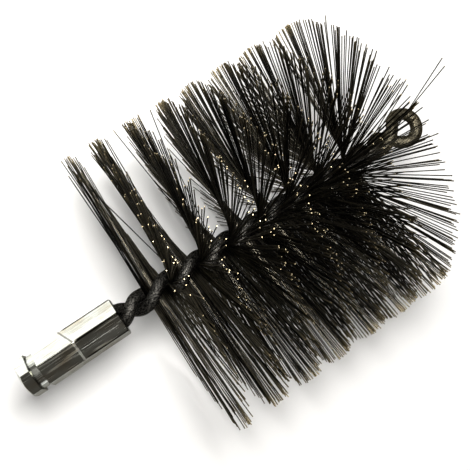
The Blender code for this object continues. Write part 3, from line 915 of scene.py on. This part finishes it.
# %% [markdown]
# ## Floor, light and camera
# The brush lies on a white table, with three lamps. A large, soft window stands low on the far side,
# and the coupling's upper flat mirrors it as plain white, while the flat that faces the camera mirrors
# the dim room. A ceiling lamp fills the table. The third lamp is small and hangs near the camera, a
# little to one side of it, so the shadow that it casts is a narrow, soft rim below the brush.
#
# The floor adds a little white of its own for the camera and for reflections, more towards its edge,
# where the lamps don't reach, so it stays white, and it still takes the shadows. The sky lights the
# brush only dimly, but the camera sees it pale, which is what lies behind the brush from a low side, and
# in reflections it is pale close to the horizon.

# %% Paint for the floor
FLOOR_WHITE = (0.8, 0.8, 0.8, 1)
LIFT_WHITE = (1, 1, 1, 1)
LIFT_UNDER_BRUSH, LIFT_FAR_OFF = 0.07, 0.95
LIFT_GROWS_FROM, LIFT_GROWS_TO = 0.09, 0.45
floor_paint = bpy.data.materials.new("floor_paint")
floor_paint.use_nodes = True
tree = floor_paint.node_tree
tree.nodes.clear()
rays = add_node(tree, "ShaderNodeLightPath").outputs
seen = Formula(tree, rays["Is Camera Ray"]).at_least(rays["Is Glossy Ray"])
spot = add_node(tree, "ShaderNodeTexCoord").outputs["Object"]
away = add_node(tree, "ShaderNodeVectorMath", {"operation": "LENGTH"}, {"Vector": spot}).outputs["Value"]
growing = span(tree, away, LIFT_UNDER_BRUSH, LIFT_FAR_OFF, start=LIFT_GROWS_FROM, end=LIFT_GROWS_TO)
white = add_node(tree, "ShaderNodeBsdfDiffuse", inputs={"Color": FLOOR_WHITE})
lift = add_node(tree, "ShaderNodeEmission", inputs={"Color": LIFT_WHITE, "Strength": seen * growing})
both = add_node(tree, "ShaderNodeAddShader")
join(tree, white.outputs[0], both.inputs[0])
join(tree, lift.outputs[0], both.inputs[1])
add_node(tree, "ShaderNodeOutputMaterial", inputs={"Surface": both.outputs[0]})
print("paint:", floor_paint.name)

# %% The floor
FLOOR_RADIUS = 0.95
FLOOR_SIDES = 96
bpy.ops.mesh.primitive_circle_add(vertices=FLOOR_SIDES, radius=FLOOR_RADIUS, fill_type="NGON")
floor = bpy.context.object
floor.name = "floor"
floor.data.materials.append(floor_paint)
print("floor at z 0")

# %% The sky
DIM_SKY, PALE_SKY = (1.0, 0.94, 0.81, 1), (0.9, 0.9, 0.9, 1)
DIM_STRENGTH = 0.05
PALE_BELOW, DIM_ABOVE = 0.06, 0.14
world = bpy.data.worlds.new("studio")
bpy.context.scene.world = world
world.use_nodes = True
tree = world.node_tree
dim = tree.nodes["Background"]
dim.inputs["Color"].default_value = DIM_SKY
dim.inputs["Strength"].default_value = DIM_STRENGTH
direction = add_node(tree, "ShaderNodeTexCoord").outputs["Generated"]
rise = add_node(tree, "ShaderNodeSeparateXYZ", inputs={"Vector": direction}).outputs["Z"]
low = Formula(tree, span(tree, rise, 1, 0, start=PALE_BELOW, end=DIM_ABOVE))
rays = add_node(tree, "ShaderNodeLightPath").outputs
share = (low * rays["Is Glossy Ray"]).at_least(rays["Is Camera Ray"])
pale = add_node(tree, "ShaderNodeBackground", inputs={"Color": PALE_SKY})
sky = add_node(tree, "ShaderNodeMixShader", inputs={"Fac": share})
join(tree, dim.outputs[0], sky.inputs[1])
join(tree, pale.outputs[0], sky.inputs[2])
join(tree, sky.outputs[0], tree.nodes["World Output"].inputs["Surface"])
print("a sky that is dim as a light and pale to look at")

# %% The lamps
def soft_lamp(name, position, target, size, power, colour):
    """A square lamp that faces a point."""
    lamp = bpy.data.lights.new(name, "AREA")
    lamp.size = size
    lamp.energy = power
    lamp.color = colour
    holder = bpy.data.objects.new(name, lamp)
    bpy.context.scene.collection.objects.link(holder)
    holder.location = position
    holder.rotation_euler = (target - position).to_track_quat("-Z", "Y").to_euler()


WINDOW_FROM_MIDDLE = Vector((-0.15, 0.9, 0.14))
CEILING_LAMP_FROM_MIDDLE = Vector((0.4, 0.4, 1.1))
NEAR_LAMP_FROM_FIRST_TUFT = Vector((0.03, 0.045, 0.26))
DOWN = Vector((0, 0, -1))
middle = (cad_box[0] + cad_box[1]) / 2
window = middle + WINDOW_FROM_MIDDLE
ceiling = middle + CEILING_LAMP_FROM_MIDDLE
near = place(0, 0, 0) + NEAR_LAMP_FROM_FIRST_TUFT
soft_lamp("window", window, middle, size=0.8, power=2.35, colour=(0.97, 0.99, 0.95))
soft_lamp("ceiling", ceiling, middle, size=0.45, power=3.8, colour=(1.0, 0.98, 0.94))
soft_lamp("near", near, near + DOWN, size=0.08, power=1.65, colour=(1.0, 0.98, 0.95))
print("three lamps")

# %% The camera
CAMERA_FROM_FIRST_TUFT = Vector((-0.006284, 0.007330, 0.241999))
CAMERA_TURN = [math.radians(a) for a in (4.816, -9.629, -33.853)]
FOCAL_LENGTH = 46.75
CLIP_START = 0.01
lens = bpy.data.cameras.new("camera")
lens.lens = FOCAL_LENGTH
lens.clip_start = CLIP_START
camera = bpy.data.objects.new("camera", lens)
bpy.context.scene.collection.objects.link(camera)
camera.location = place(0, 0, 0) + CAMERA_FROM_FIRST_TUFT
camera.rotation_euler = Euler(CAMERA_TURN)
bpy.context.scene.camera = camera
bpy.context.scene.view_settings.view_transform = "Standard"
print("camera at", [round(c, 3) for c in camera.location])
